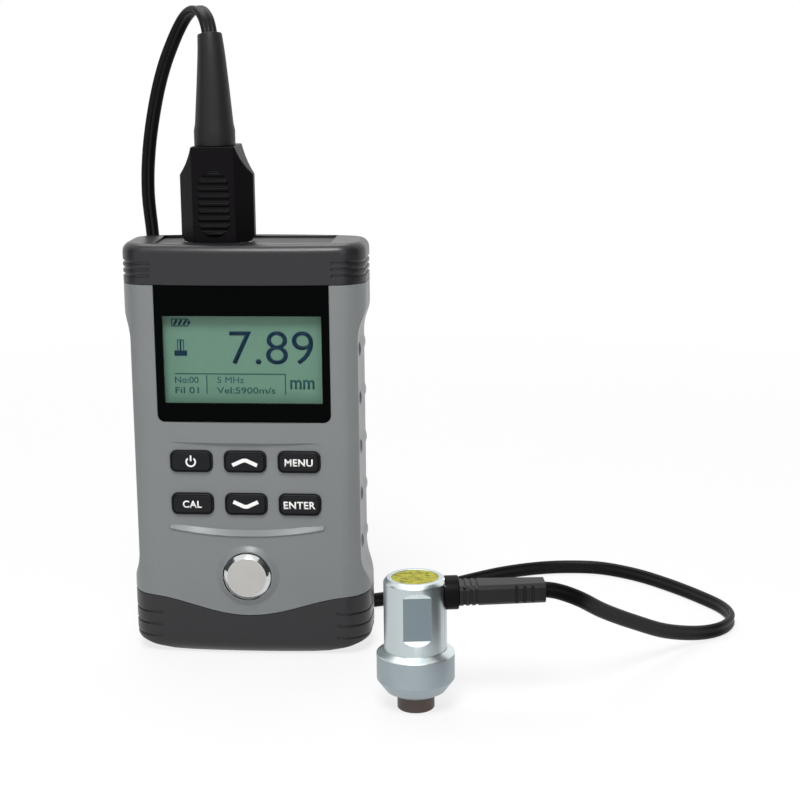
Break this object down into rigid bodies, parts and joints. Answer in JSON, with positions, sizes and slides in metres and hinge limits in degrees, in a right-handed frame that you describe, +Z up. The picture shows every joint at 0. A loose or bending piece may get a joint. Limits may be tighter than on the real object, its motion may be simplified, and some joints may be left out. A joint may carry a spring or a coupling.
{
  "type": "ultrasonic thickness gauge",
  "caption": "Hand-held ultrasonic wall thickness gauge with a window display, rubber keys, a steel test disc and a twin-crystal probe on a flexible lead.",
  "frame": {"origin": "middle of the gauge's base, on the surface it stands on", "axes": "+X to the gauge's right as its display is read, +Y from the front face to the back, +Z up along the gauge"},
  "size_m": [0.1961, 0.1444, 0.2033],
  "materials": {
    "case_plastic": "satin",
    "cap_plastic": "matt",
    "panel_plastic": "matt",
    "connector_metal": "plated",
    "window_gloss": "gloss",
    "display_glass": "clear",
    "holder_plastic": "moulded",
    "board": "lacquered",
    "switch_plastic": "moulded",
    "screw_steel": "plated",
    "key_rubber": "satin",
    "disc_steel": "ground",
    "cell_jacket": "printed",
    "contact_steel": "nickel",
    "plug_plastic": "satin",
    "boot_rubber": "matt",
    "contact_brass": "plated",
    "lead_jacket": "satin",
    "probe_steel": "satin nickel",
    "tip_plastic": "machined",
    "label_yellow": "printed",
    "delay_plastic": "polished",
    "barrier_cork": "cork",
    "crystal_ceramic": "fired ceramic",
    "backing": "cast"
  },
  "bodies": {
    "gauge": {"front_shell": "case_plastic", "rear_shell": "case_plastic", "top_cap": "cap_plastic", "bottom_cap": "cap_plastic", "connector_panel": "panel_plastic", "probe_socket_left": "connector_metal", "probe_socket_right": "connector_metal", "socket_nuts": "connector_metal", "display_window": "window_gloss", "lcd_panel": "display_glass", "lcd_holder": "holder_plastic", "main_board": "board", "key_switches": "switch_plastic", "board_screws": "screw_steel", "case_screws": "screw_steel", "test_disc": "disc_steel", "test_disc_nut": "disc_steel", "battery_left": "cell_jacket", "battery_right": "cell_jacket", "battery_link": "contact_steel", "battery_terminal_positive": "contact_steel", "battery_terminal_negative": "contact_steel", "probe_gland": "plug_plastic", "probe_boot": "boot_rubber", "probe_lead": "lead_jacket", "probe_housing": "probe_steel", "probe_collar": "probe_steel", "probe_tip_sleeve": "tip_plastic", "probe_label_disc": "label_yellow", "delay_line_transmit": "delay_plastic", "delay_line_receive": "delay_plastic", "acoustic_barrier": "barrier_cork", "crystal_transmit": "crystal_ceramic", "crystal_receive": "crystal_ceramic", "probe_backing": "backing"},
    "battery_door": {"battery_door": "case_plastic"},
    "key_power": {"key_power": "key_rubber"},
    "key_up": {"key_up": "key_rubber"},
    "key_menu": {"key_menu": "key_rubber"},
    "key_cal": {"key_cal": "key_rubber"},
    "key_down": {"key_down": "key_rubber"},
    "key_enter": {"key_enter": "key_rubber"},
    "plug": {"plug_shell": "plug_plastic", "plug_boot": "boot_rubber", "plug_barrel_left": "contact_brass", "plug_barrel_right": "contact_brass", "plug_pin_left": "contact_brass", "plug_pin_right": "contact_brass"}
  },
  "joints": [
    {"name": "key_power_press", "type": "slide", "parent": "gauge", "child": "key_power", "axis": [0, 1, 0], "range_m": [0, 0.0008], "stiffness_N_per_m": 900},
    {"name": "key_up_press", "type": "slide", "parent": "gauge", "child": "key_up", "axis": [0, 1, 0], "range_m": [0, 0.0008], "stiffness_N_per_m": 900},
    {"name": "key_menu_press", "type": "slide", "parent": "gauge", "child": "key_menu", "axis": [0, 1, 0], "range_m": [0, 0.0008], "stiffness_N_per_m": 900},
    {"name": "key_cal_press", "type": "slide", "parent": "gauge", "child": "key_cal", "axis": [0, 1, 0], "range_m": [0, 0.0008], "stiffness_N_per_m": 900},
    {"name": "key_down_press", "type": "slide", "parent": "gauge", "child": "key_down", "axis": [0, 1, 0], "range_m": [0, 0.0008], "stiffness_N_per_m": 900},
    {"name": "key_enter_press", "type": "slide", "parent": "gauge", "child": "key_enter", "axis": [0, 1, 0], "range_m": [0, 0.0008], "stiffness_N_per_m": 900},
    {"name": "plug_pull", "type": "slide", "parent": "gauge", "child": "plug", "axis": [0, 0, 1], "range_m": [0, 0.012], "deforming": ["probe_lead"]},
    {"name": "battery_door_lift", "type": "slide", "parent": "gauge", "child": "battery_door", "axis": [0, 1, 0], "range_m": [0, 0.02]}
  ]
}
